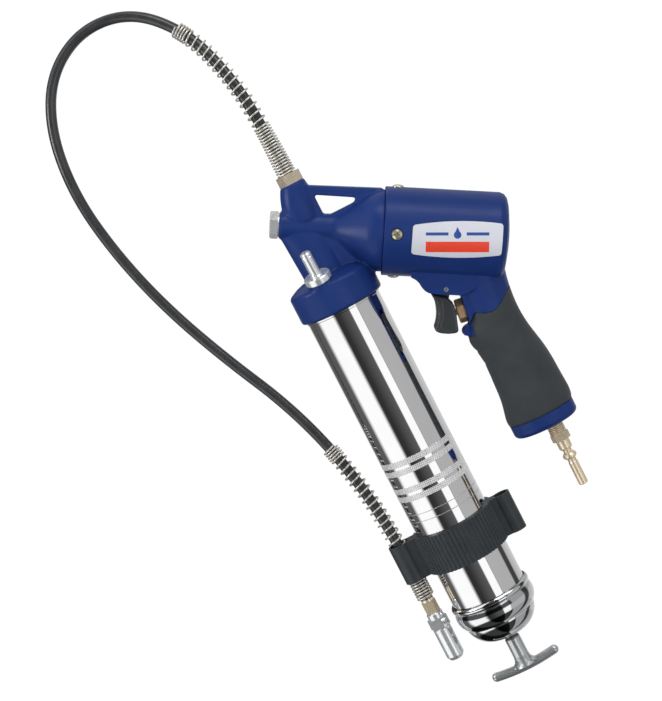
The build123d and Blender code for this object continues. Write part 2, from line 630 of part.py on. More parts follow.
# ---------------------------------------------------------------- files
PIECES = {
    "head_casting": head_casting,
    "loader_nipple": loader_nipple,
    "outlet_check_plug": outlet_check_plug,
    "outlet_check_ball": outlet_check_ball,
    "outlet_check_spring": outlet_check_spring,
    "packing_nut": packing_nut,
    "plunger_packing": plunger_packing,
    "motor_housing": motor_housing,
    "housing_screws": housing_screws,
    "label_near": label_near,
    "label_far": label_far,
    "grip_sleeve": grip_sleeve,
    "air_piston": air_piston,
    "piston_seal": piston_seal,
    "plunger": plunger,
    "return_spring": return_spring,
    "trigger": trigger,
    "trigger_pin": trigger_pin,
    "valve_nut": valve_nut,
    "valve_seat": valve_seat,
    "valve_stem": valve_stem,
    "valve_spring": valve_spring,
    "air_plug": air_plug,
    "inlet_strainer": inlet_strainer,
    "barrel_gasket": barrel_gasket,
    "barrel_tube": barrel_tube,
    "end_cap": end_cap,
    "rod_bushing": rod_bushing,
    "follower_plate": follower_plate,
    "follower_cup": follower_cup,
    "follower_spring": follower_spring,
    "follower_rod": follower_rod,
    "rod_stop": rod_stop,
    "t_handle": t_handle,
    "hose_clip": hose_clip,
    "hose": hose,
    "hose_nut": hose_nut,
    "hose_ferrule_head": hose_ferrule_head,
    "hose_ferrule_coupler": hose_ferrule_coupler,
    "spring_guard_head": spring_guard_head,
    "spring_guard_coupler": spring_guard_coupler,
    "coupler_adapter": coupler_adapter,
    "coupler_body": coupler_body,
    "coupler_sleeve": coupler_sleeve,
    "coupler_seal": coupler_seal,
    "coupler_jaws": coupler_jaws,
}
os.makedirs("parts", exist_ok=True)
for name, piece in PIECES.items():
    piece.part.label = name
    export_step(piece.part, f"parts/{name}.step")
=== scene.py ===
"""Looks of an air-operated grease gun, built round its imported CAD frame. Metres, +Z up."""

import json
from math import copysign, cos, floor, pi, radians, sin, sqrt, tau

import bmesh
import bpy
from mathutils import Matrix, Vector


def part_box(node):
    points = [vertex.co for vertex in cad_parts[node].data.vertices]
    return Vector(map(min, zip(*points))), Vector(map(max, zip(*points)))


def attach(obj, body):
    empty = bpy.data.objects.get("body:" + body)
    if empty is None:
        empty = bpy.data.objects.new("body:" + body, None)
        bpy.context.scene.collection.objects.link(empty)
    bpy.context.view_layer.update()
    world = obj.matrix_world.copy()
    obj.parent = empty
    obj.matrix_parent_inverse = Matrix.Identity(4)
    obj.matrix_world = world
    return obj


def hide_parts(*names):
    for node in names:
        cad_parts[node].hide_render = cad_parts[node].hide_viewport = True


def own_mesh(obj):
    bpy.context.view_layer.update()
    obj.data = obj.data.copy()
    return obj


MM = 0.001

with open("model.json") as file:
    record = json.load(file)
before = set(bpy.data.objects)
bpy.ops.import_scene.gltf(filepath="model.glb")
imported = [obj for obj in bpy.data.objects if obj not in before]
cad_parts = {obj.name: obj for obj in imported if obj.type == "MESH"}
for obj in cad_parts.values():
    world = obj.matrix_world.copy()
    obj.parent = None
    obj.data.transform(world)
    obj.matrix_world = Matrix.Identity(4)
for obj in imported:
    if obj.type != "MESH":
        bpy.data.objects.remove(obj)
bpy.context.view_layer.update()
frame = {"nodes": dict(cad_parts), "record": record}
nodes = frame["nodes"]

# ---------------------------------------------------------------- places, from the frame
# The gun's own frame: X down the barrel from the collar's open edge, Y towards the handle, Z up.
# Plain numbers in it are millimetres.
UP = Vector((0, 0, 1))
BARREL_R = 28.575
BARREL_IN_COLLAR = 18
HOUSING_R = 32.2
MOTOR_ANGLE = radians(60)
MOTOR_DIR = Vector((cos(MOTOR_ANGLE), sin(MOTOR_ANGLE), 0))
MOTOR_SIDE = Vector((-sin(MOTOR_ANGLE), cos(MOTOR_ANGLE), 0))

tube_low, tube_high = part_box("barrel_tube")
GUN_ORIGIN = Vector(
    (
        tube_low[0] + BARREL_IN_COLLAR * MM,
        (tube_low[1] + tube_high[1]) / 2,
        (tube_low[2] + tube_high[2]) / 2,
    )
)


def gun_point(x, y, z=0.0):
    """A point given in millimetres from the collar's open edge, on the barrel's axis."""
    return GUN_ORIGIN + Vector((x, y, z)) * MM


SEAM = gun_point(-36.4, 51.2)  # where the motor's axis crosses the joint of head and housing


def motor_point(u, v, w=0.0):
    """A point given in millimetres along, across and above the motor's axis."""
    return SEAM + (MOTOR_DIR * u + MOTOR_SIDE * v + UP * w) * MM


def smooth_step(value, low, high):
    share = min(1.0, max(0.0, (value - low) / (high - low)))
    return share * share * (3 - 2 * share)


# ---------------------------------------------------------------- camera
PICTURE_RIGHT = (0.4542, 0.8909)  # on the floor, so that the barrel hangs to the lower right
CAMERA_AIM = (24.5, -22.3)
CAMERA_TILT = radians(7.7)
CAMERA_DISTANCE = 1.46
CAMERA_LENS = 102.7
SENSOR_WIDTH = 36
CLIP_END = 20


def add_camera():
    """Looks down on the gun, a little from the side of its head."""
    right_x, right_y = PICTURE_RIGHT
    picture_right = Vector((right_x, right_y, 0))
    picture_up = Vector((-right_y, right_x, 0))
    view_from = picture_up * sin(CAMERA_TILT) + UP * cos(CAMERA_TILT)
    up = (picture_up - view_from * picture_up.dot(view_from)).normalized()
    camera = bpy.data.objects.new("camera", bpy.data.cameras.new("camera"))
    bpy.context.scene.collection.objects.link(camera)
    place = gun_point(*CAMERA_AIM) + view_from * CAMERA_DISTANCE
    turn = Matrix((picture_right, up, view_from)).transposed()
    camera.matrix_world = Matrix.Translation(place) @ turn.to_4x4()
    camera.data.lens = CAMERA_LENS
    camera.data.sensor_width = SENSOR_WIDTH
    camera.data.clip_end = CLIP_END
    bpy.context.scene.camera = camera


# ---------------------------------------------------------------- shader nodes
def link(tree, source, target):
    tree.links.new(source, target)


def coordinates(tree):
    """The object's own coordinates, which are metres in the frame."""
    return tree.nodes.new("ShaderNodeTexCoord").outputs["Object"]


def noise(tree, scale, detail, stretch=None):
    texture = tree.nodes.new("ShaderNodeTexNoise")
    texture.inputs["Scale"].default_value = scale
    texture.inputs["Detail"].default_value = detail
    vector = coordinates(tree)
    if stretch:
        mapping = tree.nodes.new("ShaderNodeMapping")
        mapping.inputs["Scale"].default_value = stretch
        link(tree, vector, mapping.inputs["Vector"])
        vector = mapping.outputs["Vector"]
    link(tree, vector, texture.inputs["Vector"])
    return texture.outputs["Fac"]


def math_node(tree, operation, *values):
    node = tree.nodes.new("ShaderNodeMath")
    node.operation = operation
    for socket, value in zip(node.inputs, values):
        if isinstance(value, (int, float)):
            socket.default_value = value
        else:
            link(tree, value, socket)
    return node.outputs[0]


def map_range(tree, value, low, high, new_low=0.0, new_high=1.0):
    node = tree.nodes.new("ShaderNodeMapRange")
    limits = {"From Min": low, "From Max": high, "To Min": new_low, "To Max": new_high}
    for name, number in limits.items():
        node.inputs[name].default_value = number
    link(tree, value, node.inputs["Value"])
    return node.outputs[0]


def mix_colour(tree, factor, first, second):
    node = tree.nodes.new("ShaderNodeMix")
    node.data_type = "RGBA"
    link(tree, factor, node.inputs["Factor"])
    for name, value in (("A", first), ("B", second)):
        socket = next(s for s in node.inputs if s.name == name and s.type == "RGBA")
        if isinstance(value, tuple):
            socket.default_value = (*value, 1)
        else:
            link(tree, value, socket)
    return next(s for s in node.outputs if s.type == "RGBA")


def grey_ramp(tree, value, low, high, stops):
    """stops are (place between low and high, brightness)."""
    ramp = tree.nodes.new("ShaderNodeValToRGB")
    link(tree, map_range(tree, value, low, high), ramp.inputs["Fac"])
    elements = ramp.color_ramp.elements
    while len(elements) < len(stops):
        elements.new(1.0)
    for element, (place, brightness) in zip(elements, stops):
        element.position = (place - low) / (high - low)
        element.color = (brightness, brightness, brightness, 1)
    return ramp.outputs["Color"]


def total(tree, values):
    """The sum of sockets."""
    result = values[0]
    for value in values[1:]:
        result = math_node(tree, "ADD", result, value)
    return result


# ---------------------------------------------------------------- light and floor
WORLD_STRENGTH = 1.15
# brightness by degrees round the barrel, 0 overhead and rising towards the handle's side
STUDIO_WALLS = (
    (-180, 0.65), (-158, 0.60), (-148, 0.09), (-97, 0.10), (-84, 1.0), (-39.5, 1.0), (-30.5, 0.03),
    (-20, 0.03), (2, 0.08), (14.5, 0.10), (16.5, 1.0), (38, 1.0), (38.6, 0.2), (39.8, 0.2),
    (40.2, 0.43), (91, 0.42), (95, 0.05), (112, 0.05), (118, 0.45), (180, 0.65),
)  # fmt: skip
# a factor on it by direction along the barrel, from -1 towards the head to 1 towards the T-handle
STUDIO_GAPS = (
    (-1, 1.0), (-0.45, 1.0), (-0.38, 0.08), (0.02, 0.08), (0.07, 1.0), (0.54, 1.0), (0.62, 0.04),
    (1, 0.04),
)  # fmt: skip
FILLED_FROM = 45  # degrees from which that factor is no lower than FILLED_TO
FILLED_TO = 0.75
# name, watts, width and height in metres, place, whether the metal mirrors it
LAMPS = (
    ("key", 3.6, 1.1, 0.3, (-820, 540, 420), True),
    ("side", 2.6, 0.35, 0.35, (-390, -830, 350), True),
    ("fill", 9, 1.0, 1.0, (-60, 40, 1200), False),
)
LAMPS_AIM = (0, 20)
FLOOR_HALF = 6.0
FLOOR_GREY = (0.08, 0.08, 0.08, 1)
FLOOR_GLOW = 0.97


def add_studio():
    """The walls that the chrome mirrors, white with dark gaps between them."""
    world = bpy.data.worlds.new("studio")
    bpy.context.scene.world = world
    world.use_nodes = True
    tree = world.node_tree
    tree.nodes.clear()
    direction = tree.nodes.new("ShaderNodeTexCoord").outputs["Generated"]
    split = tree.nodes.new("ShaderNodeSeparateXYZ")
    link(tree, direction, split.inputs[0])
    angle = math_node(tree, "ARCTAN2", split.outputs["Y"], split.outputs["Z"])
    degrees = math_node(tree, "MULTIPLY", angle, 180 / pi)
    walls = grey_ramp(tree, degrees, -180, 180, STUDIO_WALLS)
    gaps = grey_ramp(tree, split.outputs["X"], -1, 1, STUDIO_GAPS)
    handle_side = math_node(tree, "GREATER_THAN", degrees, FILLED_FROM)
    filled = math_node(tree, "MULTIPLY", handle_side, FILLED_TO)
    kept = math_node(tree, "MAXIMUM", gaps, filled)
    background = tree.nodes.new("ShaderNodeBackground")
    background.inputs["Strength"].default_value = WORLD_STRENGTH
    link(tree, math_node(tree, "MULTIPLY", walls, kept), background.inputs["Color"])
    output = tree.nodes.new("ShaderNodeOutputWorld")
    link(tree, background.outputs[0], output.inputs["Surface"])


def add_lamp(name, watts, width, height, place, mirrored):
    light = bpy.data.lights.new(name, "AREA")
    light.shape = "RECTANGLE"
    light.size = width
    light.size_y = height
    light.energy = watts
    lamp = bpy.data.objects.new(name, light)
    bpy.context.scene.collection.objects.link(lamp)
    lamp.location = gun_point(*place)
    aim = gun_point(*LAMPS_AIM) - gun_point(*place)
    lamp.rotation_euler = aim.to_track_quat("-Z", "Y").to_euler()
    lamp.visible_glossy = mirrored


def add_floor():
    """A pale floor that glows, so that the gun throws no shadow. The chrome doesn't mirror it."""
    mesh = bpy.data.meshes.new("floor")
    corners = [(x * FLOOR_HALF, y * FLOOR_HALF, 0) for x, y in ((-1, -1), (1, -1), (1, 1), (-1, 1))]
    mesh.from_pydata(corners, [], [(0, 1, 2, 3)])
    floor = bpy.data.objects.new("floor", mesh)
    bpy.context.scene.collection.objects.link(floor)
    floor.visible_glossy = False
    material = bpy.data.materials.new("floor_white")
    material.use_nodes = True
    bsdf = material.node_tree.nodes["Principled BSDF"]
    bsdf.inputs["Base Color"].default_value = FLOOR_GREY
    bsdf.inputs["Roughness"].default_value = 1.0
    bsdf.inputs["Specular IOR Level"].default_value = 0.0
    bsdf.inputs["Emission Color"].default_value = (1, 1, 1, 1)
    bsdf.inputs["Emission Strength"].default_value = FLOOR_GLOW
    mesh.materials.append(material)


# ---------------------------------------------------------------- materials
NOISE_SPAN = (0.3, 0.7)  # the part of the noise that is spread over a finish's whole range
GLOSS_SCALE = 2.3  # the gloss varies this much more finely than the colour
SHADE_AND_GRIME_POINTINESS = (0.38, 0.45)  # from full painted shade and grime in the hollows to none
# how far the hollows darken with painted shade and grime, as a share of the colour
SHADE_AND_GRIME_TONE = 0.35
MIN_ROUGHNESS = 0.02
COLOUR_DETAIL, GLOSS_DETAIL, BUMP_DETAIL = 4.0, 5.0, 2.0
BEVEL_SAMPLES = 4


def shade(colour, factor):
    return tuple(min(1.0, channel * factor) for channel in colour)


def surface(
    name, colour, roughness, spread, mottle, mottle_scale=60.0, metallic=0.0, specular=0.5,
    coat=0.0, coat_roughness=0.05, sheen=0.0, dirt_and_shade=0.0, edge=0.0, bumps=(), height=None,
    stretch=None,
):  # fmt: skip
    """A finish with its colour and gloss varied by noise.

    Its colour varies by mottle, its roughness by spread, dirt_and_shade darkens its hollows with
    painted shade and grime, and its edges are rounded by edge in millimetres. bumps are (scale,
    depth in millimetres), and height adds the nodes of one more. stretch scales the noise along
    each axis.
    """
    material = bpy.data.materials.new(name)
    material.use_nodes = True
    tree = material.node_tree
    bsdf = tree.nodes["Principled BSDF"]
    bsdf.inputs["Metallic"].default_value = metallic
    bsdf.inputs["Specular IOR Level"].default_value = specular
    bsdf.inputs["Coat Weight"].default_value = coat
    bsdf.inputs["Coat Roughness"].default_value = coat_roughness
    bsdf.inputs["Sheen Weight"].default_value = sheen

    spots = map_range(tree, noise(tree, mottle_scale, COLOUR_DETAIL, stretch), *NOISE_SPAN)
    tone = mix_colour(tree, spots, shade(colour, 1 - mottle), shade(colour, 1 + mottle))
    # painted shade with some grime: the colour darkens in concave hollows, found by pointiness
    if dirt_and_shade > 0:
        cavity = tree.nodes.new("ShaderNodeNewGeometry").outputs["Pointiness"]
        shade_and_grime_mask = map_range(tree, cavity, *SHADE_AND_GRIME_POINTINESS, 1.0, 0.0)
        shade_and_grime_mask = math_node(tree, "MULTIPLY", shade_and_grime_mask, dirt_and_shade)
        tone = mix_colour(tree, shade_and_grime_mask, tone, shade(colour, SHADE_AND_GRIME_TONE))
    link(tree, tone, bsdf.inputs["Base Color"])

    patches = noise(tree, mottle_scale * GLOSS_SCALE, GLOSS_DETAIL, stretch)
    glossiest = max(MIN_ROUGHNESS, roughness - spread)
    gloss = map_range(tree, patches, *NOISE_SPAN, glossiest, roughness + spread)
    link(tree, gloss, bsdf.inputs["Roughness"])

    normal = None
    if edge > 0:
        bevel = tree.nodes.new("ShaderNodeBevel")
        bevel.samples = BEVEL_SAMPLES
        bevel.inputs["Radius"].default_value = edge * MM
        normal = bevel.outputs[0]
    layers = [(noise(tree, scale, BUMP_DETAIL, stretch), depth) for scale, depth in bumps]
    if height:
        layers.append(height(tree))
    for value, depth in layers:
        bump = tree.nodes.new("ShaderNodeBump")
        bump.inputs["Strength"].default_value = 1.0
        bump.inputs["Distance"].default_value = depth * MM
        link(tree, value, bump.inputs["Height"])
        if normal:
            link(tree, normal, bump.inputs["Normal"])
        normal = bump.outputs[0]
    if normal:
        link(tree, normal, bsdf.inputs["Normal"])
    return material


# marks round the barrel: millimetres along it
KNURLS = ((115.8, 120.2), (122.4, 126.7), (136.4, 140.7), (142.9, 147.3))
KNURL_PITCH = 3.6
KNURL_HEIGHT = 0.10
KNURL_CREST = 1.7  # how much the crests are broadened
BAND_ROUGHNESS = 0.12
# painted shade between the knurls' crests
VALLEY_SHADE_COLOUR = (0.26, 0.26, 0.27)
VALLEY_SHADE_SHARE = 0.3  # how far the painted shade between the crests goes towards that colour
CREST_MATT = 0.8  # the most metal that the crests lose
SCRIBED = (158.0, 164.0)
SCRIBED_HALF = 0.32
SCRIBED_ROUGHNESS = 0.5


def barrel_marks(tree):
    """Crossed knurling, and where the knurled bands and the scribed lines run round the barrel."""
    split = tree.nodes.new("ShaderNodeSeparateXYZ")
    link(tree, coordinates(tree), split.inputs[0])
    along = math_node(tree, "SUBTRACT", split.outputs["X"], GUN_ORIGIN.x)
    along = math_node(tree, "MULTIPLY", along, 1 / MM)
    side = math_node(tree, "SUBTRACT", split.outputs["Y"], GUN_ORIGIN.y)
    rise = math_node(tree, "SUBTRACT", split.outputs["Z"], GUN_ORIGIN.z)
    arc = math_node(tree, "MULTIPLY", math_node(tree, "ARCTAN2", side, rise), BARREL_R)
    waves = []
    for sign in (1, -1):
        slanted = math_node(tree, "ADD", math_node(tree, "MULTIPLY", arc, sign), along)
        turn = math_node(tree, "MULTIPLY", slanted, tau / KNURL_PITCH)
        waves.append(math_node(tree, "ABSOLUTE", math_node(tree, "SINE", turn)))
    bands = total(
        tree,
        [
            math_node(tree, "COMPARE", along, (start + end) / 2, (end - start) / 2)
            for start, end in KNURLS
        ],
    )
    lines = total(
        tree, [math_node(tree, "COMPARE", along, place, SCRIBED_HALF) for place in SCRIBED]
    )
    crossed = math_node(tree, "MINIMUM", *waves)
    return math_node(tree, "MULTIPLY", crossed, bands), bands, lines


def knurling(tree):
    """Height of the knurling, and its depth in millimetres."""
    return barrel_marks(tree)[0], KNURL_HEIGHT


def etch_barrel(material):
    """Leaves the knurls' crests matt and pale beside the mirror where wear has rubbed them, paints
    shade between the crests, and leaves the scribed lines matt.
    """
    tree = material.node_tree
    bsdf = tree.nodes["Principled BSDF"]
    crossed, bands, lines = barrel_marks(tree)
    gloss = bsdf.inputs["Roughness"].links[0].from_socket
    matt_bands = math_node(tree, "MULTIPLY", bands, BAND_ROUGHNESS)
    matt_lines = math_node(tree, "MULTIPLY", lines, SCRIBED_ROUGHNESS)
    matt = math_node(tree, "ADD", matt_bands, matt_lines)
    link(tree, math_node(tree, "MAXIMUM", gloss, matt), bsdf.inputs["Roughness"])

    raised = math_node(tree, "MULTIPLY", crossed, KNURL_CREST)
    # painted shade: the colour darkens between the knurls' crests
    valley_shade_mask = math_node(tree, "MAXIMUM", math_node(tree, "SUBTRACT", bands, raised), 0.0)
    valley_shade_mask = math_node(tree, "MULTIPLY", valley_shade_mask, VALLEY_SHADE_SHARE)
    plain = bsdf.inputs["Base Color"].links[0].from_socket
    with_valley_shade = mix_colour(tree, valley_shade_mask, plain, VALLEY_SHADE_COLOUR)
    link(tree, with_valley_shade, bsdf.inputs["Base Color"])
    crests = math_node(tree, "MINIMUM", raised, CREST_MATT)
    link(tree, math_node(tree, "SUBTRACT", 1.0, crests), bsdf.inputs["Metallic"])


LABEL_GLOSS = {"roughness": 0.30, "spread": 0.03, "coat": 0.2, "coat_roughness": 0.08}
FINISHES = {
    "blue_paint": dict(
        colour=(0.0095, 0.0300, 0.148), roughness=0.36, spread=0.04, mottle=0.05, mottle_scale=35,
        specular=0.18, coat=0.03, coat_roughness=0.14, dirt_and_shade=0.2, edge=0.8,
        bumps=((420, 0.03), (2600, 0.006)),
    ),
    "chrome_tube": dict(
        colour=(0.84, 0.84, 0.85), metallic=1.0, roughness=0.05, spread=0.02, mottle=0.015,
        height=knurling,
    ),
    "chrome_part": dict(
        colour=(0.80, 0.81, 0.82), metallic=1.0, roughness=0.07, spread=0.03, mottle=0.03,
        edge=0.4, bumps=((500, 0.0008),),
    ),
    "zinc_steel": dict(
        colour=(0.60, 0.625, 0.64), metallic=0.75, roughness=0.22, spread=0.03, mottle=0.03,
        dirt_and_shade=0.15,
    ),
    "bright_zinc": dict(
        colour=(0.84, 0.865, 0.88), metallic=0.7, roughness=0.17, spread=0.03, mottle=0.02,
        dirt_and_shade=0.1,
    ),
    "gold_zinc": dict(
        colour=(0.78, 0.71, 0.54), metallic=0.8, roughness=0.24, spread=0.05, mottle=0.06,
        mottle_scale=120, dirt_and_shade=0.3,
    ),
    "dark_steel": dict(
        colour=(0.30, 0.30, 0.31), metallic=1.0, roughness=0.34, spread=0.06, mottle=0.1,
        mottle_scale=150, edge=0.25, bumps=((1200, 0.002),),
    ),
    "spring_steel": dict(
        colour=(0.80, 0.78, 0.71), metallic=0.8, roughness=0.40, spread=0.05, mottle=0.10,
        mottle_scale=200, stretch=(1, 1, 3),
    ),
    "yellow_brass": dict(
        colour=(0.92, 0.78, 0.56), metallic=0.62, roughness=0.22, spread=0.04, mottle=0.05,
        mottle_scale=90, dirt_and_shade=0.2,
    ),
    "nut_brass": dict(
        colour=(0.70, 0.60, 0.46), metallic=0.72, roughness=0.36, spread=0.05, mottle=0.08,
        mottle_scale=120, dirt_and_shade=0.3, edge=0.5, bumps=((900, 0.002),),
    ),
    "valve_brass": dict(
        colour=(0.70, 0.48, 0.27), metallic=0.72, roughness=0.38, spread=0.06, mottle=0.18,
        mottle_scale=190, dirt_and_shade=0.3, edge=0.6, bumps=((900, 0.003),),
    ),
    "grip_rubber": dict(
        colour=(0.036, 0.041, 0.045), roughness=0.60, spread=0.08, mottle=0.10, mottle_scale=45,
        specular=0.28, sheen=0.05, bumps=((500, 0.03), (3800, 0.012)),
    ),
    "hose_rubber": dict(
        colour=(0.034, 0.035, 0.037), roughness=0.24, spread=0.06, mottle=0.2, mottle_scale=90,
        specular=0.6, bumps=((500, 0.01),),
    ),
    "seal_rubber": dict(
        colour=(0.025, 0.025, 0.027), roughness=0.5, spread=0.06, mottle=0.15, mottle_scale=120,
        bumps=((900, 0.01),),
    ),
    # its high dirt_and_shade paints shade into the groove behind its front edge
    "trigger_plastic": dict(
        colour=(0.028, 0.032, 0.035), roughness=0.34, spread=0.06, mottle=0.12, mottle_scale=70,
        specular=0.7, dirt_and_shade=0.8, edge=0.3, bumps=((1800, 0.008),),
    ),
    "clip_plastic": dict(
        colour=(0.030, 0.035, 0.040), roughness=0.40, spread=0.06, mottle=0.12,
        specular=0.4, edge=0.5, bumps=((1500, 0.010),),
    ),
    "bushing_plastic": dict(
        colour=(0.03, 0.03, 0.032), roughness=0.4, spread=0.05, mottle=0.1, mottle_scale=90,
        edge=0.3, bumps=((1500, 0.01),),
    ),
    "label_white": dict(colour=(0.60, 0.61, 0.67), mottle=0.02, mottle_scale=40, **LABEL_GLOSS),
    "label_red": dict(colour=(0.74, 0.056, 0.026), mottle=0.03, **LABEL_GLOSS),
    "label_blue": dict(colour=(0.02, 0.07, 0.30), mottle=0.03, **LABEL_GLOSS),
    "piston_aluminium": dict(
        colour=(0.72, 0.73, 0.74), metallic=1.0, roughness=0.3, spread=0.05, mottle=0.05,
        mottle_scale=90, edge=0.3, bumps=((900, 0.002),),
    ),
}  # fmt: skip
finishes = {name: surface(name, **values) for name, values in FINISHES.items()}

# pieces whose finish differs a little from the others in their slot
SPECIAL_FINISH = {
    "loader_nipple": "bright_zinc", "coupler_body": "bright_zinc", "coupler_sleeve": "bright_zinc",
    "outlet_check_plug": "bright_zinc", "end_cap": "chrome_part", "housing_screws": "gold_zinc",
    "hose_nut": "nut_brass", "valve_nut": "valve_brass", "hose_ferrule_head": "dark_steel",
    "hose_ferrule_coupler": "dark_steel",
}  # fmt: skip
SHARP_ANGLE = radians(32)


def paint(piece, finish):
    piece.data.materials.clear()
    piece.data.materials.append(finishes[finish])


def finish_cad_nodes():
    """Gives every CAD node its finish, and smooth shading between its sharp edges."""
    slots = {entry["node"]: entry["material_slot"] for entry in frame["record"]["subparts"]}
    for name, node in nodes.items():
        paint(node, SPECIAL_FINISH.get(name, slots[name]))
        node.data.shade_smooth()
        node.data.set_sharp_from_angle(angle=SHARP_ANGLE)


# ---------------------------------------------------------------- mesh helpers
def dress(piece, body, slot, finish=None):
    """Gives a new piece its finish, which is its slot's unless another is named, and the body that
    it rides on.
    """
    paint(piece, finish or slot)
    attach(piece, body)


def add_mesh(name, points, faces, body, slot, finish=None):
    mesh = bpy.data.meshes.new(name)
    mesh.from_pydata([tuple(p) for p in points], [], faces)
    mesh.validate()
    mesh.shade_smooth()
    piece = bpy.data.objects.new(name, mesh)
    bpy.context.scene.collection.objects.link(piece)
    dress(piece, body, slot, finish)
    return piece


def frames_along(points):
    """Two square directions at each point, carried along the line without twist."""
    tangents = []
    for index in range(len(points)):
        before = points[max(index - 1, 0)]
        after = points[min(index + 1, len(points) - 1)]
        tangents.append((after - before).normalized())
    side = tangents[0].orthogonal().normalized()
    result = []
    for tangent in tangents:
        side = (side - tangent * side.dot(tangent)).normalized()
        result.append((side, tangent.cross(side)))
    return result


def wire_mesh(points, radius, sides):
    """Vertices and faces of a round wire along points, closed at both ends."""
    vertices = []
    for point, (side, up) in zip(points, frames_along(points)):
        for index in range(sides):
            turn = tau * index / sides
            vertices.append(point + (side * cos(turn) + up * sin(turn)) * radius)
    faces = []
    for ring in range(len(points) - 1):
        for index in range(sides):
            after = (index + 1) % sides
            low, high = ring * sides, (ring + 1) * sides
            faces.append((low + index, low + after, high + after, high + index))
    faces.append(tuple(range(sides))[::-1])
    faces.append(tuple(range(len(points) * sides - sides, len(points) * sides)))
    return vertices, faces


def resample(points, step):
    """Points about every step along a line, and the line's length."""
    lengths = [0.0]
    for before, after in zip(points, points[1:]):
        lengths.append(lengths[-1] + (after - before).length)
    count = max(2, round(lengths[-1] / step))
    result = []
    index = 0
    for number in range(count + 1):
        wanted = lengths[-1] * number / count
        while index < len(points) - 2 and lengths[index + 1] < wanted:
            index += 1
        span = max(lengths[index + 1] - lengths[index], 1e-9)
        share = min(1, (wanted - lengths[index]) / span)
        result.append(points[index].lerp(points[index + 1], share))
    return result, lengths[-1]


COIL_STEP = 0.25 * MM
COIL_POINTS_PER_TURN = 20


def coil_points(line, pitch_at, radius_at):
    """A helix about a line, with its pitch and radius given at each distance along it."""
    centres, length = resample(line, COIL_STEP)
    step = length / (len(centres) - 1)
    points = []
    turns = 0.0
    wanted = 0.0
    for index, (centre, (side, up)) in enumerate(zip(centres, frames_along(centres))):
        distance = index * step
        while turns >= wanted:
            back = (turns - wanted) * pitch_at(distance) / step
            middle = centre.lerp(centres[max(index - 1, 0)], min(1.0, back))
            turn = tau * wanted
            points.append(middle + (side * cos(turn) + up * sin(turn)) * radius_at(distance))
            wanted += 1 / COIL_POINTS_PER_TURN
        turns += step / pitch_at(distance)
    return points


# ---------------------------------------------------------------- whip hose
ROUTE = (
    (-104.6, 7.7, 0), (-146, 7.7, 0), (-188, 2.5, -4), (-228, -11, -11), (-259, -40, -21),
    (-265, -79, -28), (-246, -114, -28), (-209, -134, -28), (-160, -140, -28), (-108, -133, -28),
    (-56, -118.5, -27.5), (-4, -97, -24.5), (50, -70, -18), (104, -52.5, -8.5), (163, -43.3, 0),
    (222, -43.3, 0),
)  # fmt: skip
HOSE_R = 4 * MM
HOSE_STEP = 0.5 * MM
SPLINE_ORDER = 3
SPLINE_RESOLUTION = 24
ROUND_RESOLUTION = 6

GUARD_WIRE_R = 0.72
GUARD_SIDES = 8
GUARD_LENGTH = 133
HEAD_GUARD_START = 0.2  # from the hose's end at the head
COUPLER_GUARD_END = 1.5  # from its other end
PITCH_CHANGE = 2  # the length over which a guard's turns close up


def add_hose():
    """The hose, a smooth spline through the gland, round its loop on the floor and to the clip."""
    curve = bpy.data.curves.new("whip_hose", "CURVE")
    curve.dimensions = "3D"
    spline = curve.splines.new("NURBS")
    spline.points.add(len(ROUTE) - 1)
    for point, place in zip(spline.points, ROUTE):
        point.co = (*gun_point(*place), 1)
    spline.order_u = SPLINE_ORDER
    spline.use_endpoint_u = True
    curve.resolution_u = SPLINE_RESOLUTION
    piece = bpy.data.objects.new("whip_hose", curve)
    bpy.context.scene.collection.objects.link(piece)
    bpy.context.view_layer.update()
    bare = bpy.data.meshes.new_from_object(piece)
    line = [vertex.co.copy() for vertex in bare.vertices]
    curve.bevel_depth = HOSE_R
    curve.bevel_resolution = ROUND_RESOLUTION
    curve.use_fill_caps = True
    dress(piece, "gun", "hose_rubber")
    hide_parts("hose")
    return piece, line


def part_of(line, start, end):
    """The stretch of a line between two distances along it."""
    points, length = resample(line, HOSE_STEP)
    step = length / (len(points) - 1)
    return points[round(start / step) : round(end / step) + 1]


def add_guard(name, node, line, open_pitch, close_pitch, close_stretches, outer_radii):
    """A coiled wire guard. Its turns are closer in some stretches, and outer_radii are
    (distance along it, radius), all in millimetres.
    """

    def pitch_at(distance):
        place = distance / MM
        closeness = 0.0
        for low, high in close_stretches:
            rise = smooth_step(place, low - PITCH_CHANGE, low)
            closeness = max(closeness, rise - smooth_step(place, high, high + PITCH_CHANGE))
        return (open_pitch + (close_pitch - open_pitch) * closeness) * MM

    def radius_at(distance):
        radius = outer_radii[0][1]
        for (low, first), (high, second) in zip(outer_radii, outer_radii[1:]):
            radius += (second - first) * smooth_step(distance / MM, low, high)
        return (radius - GUARD_WIRE_R) * MM

    points = coil_points(line, pitch_at, radius_at)
    vertices, faces = wire_mesh(points, GUARD_WIRE_R * MM, GUARD_SIDES)
    piece = add_mesh(name, vertices, faces, "gun", "spring_steel")
    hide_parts(node)
    return piece


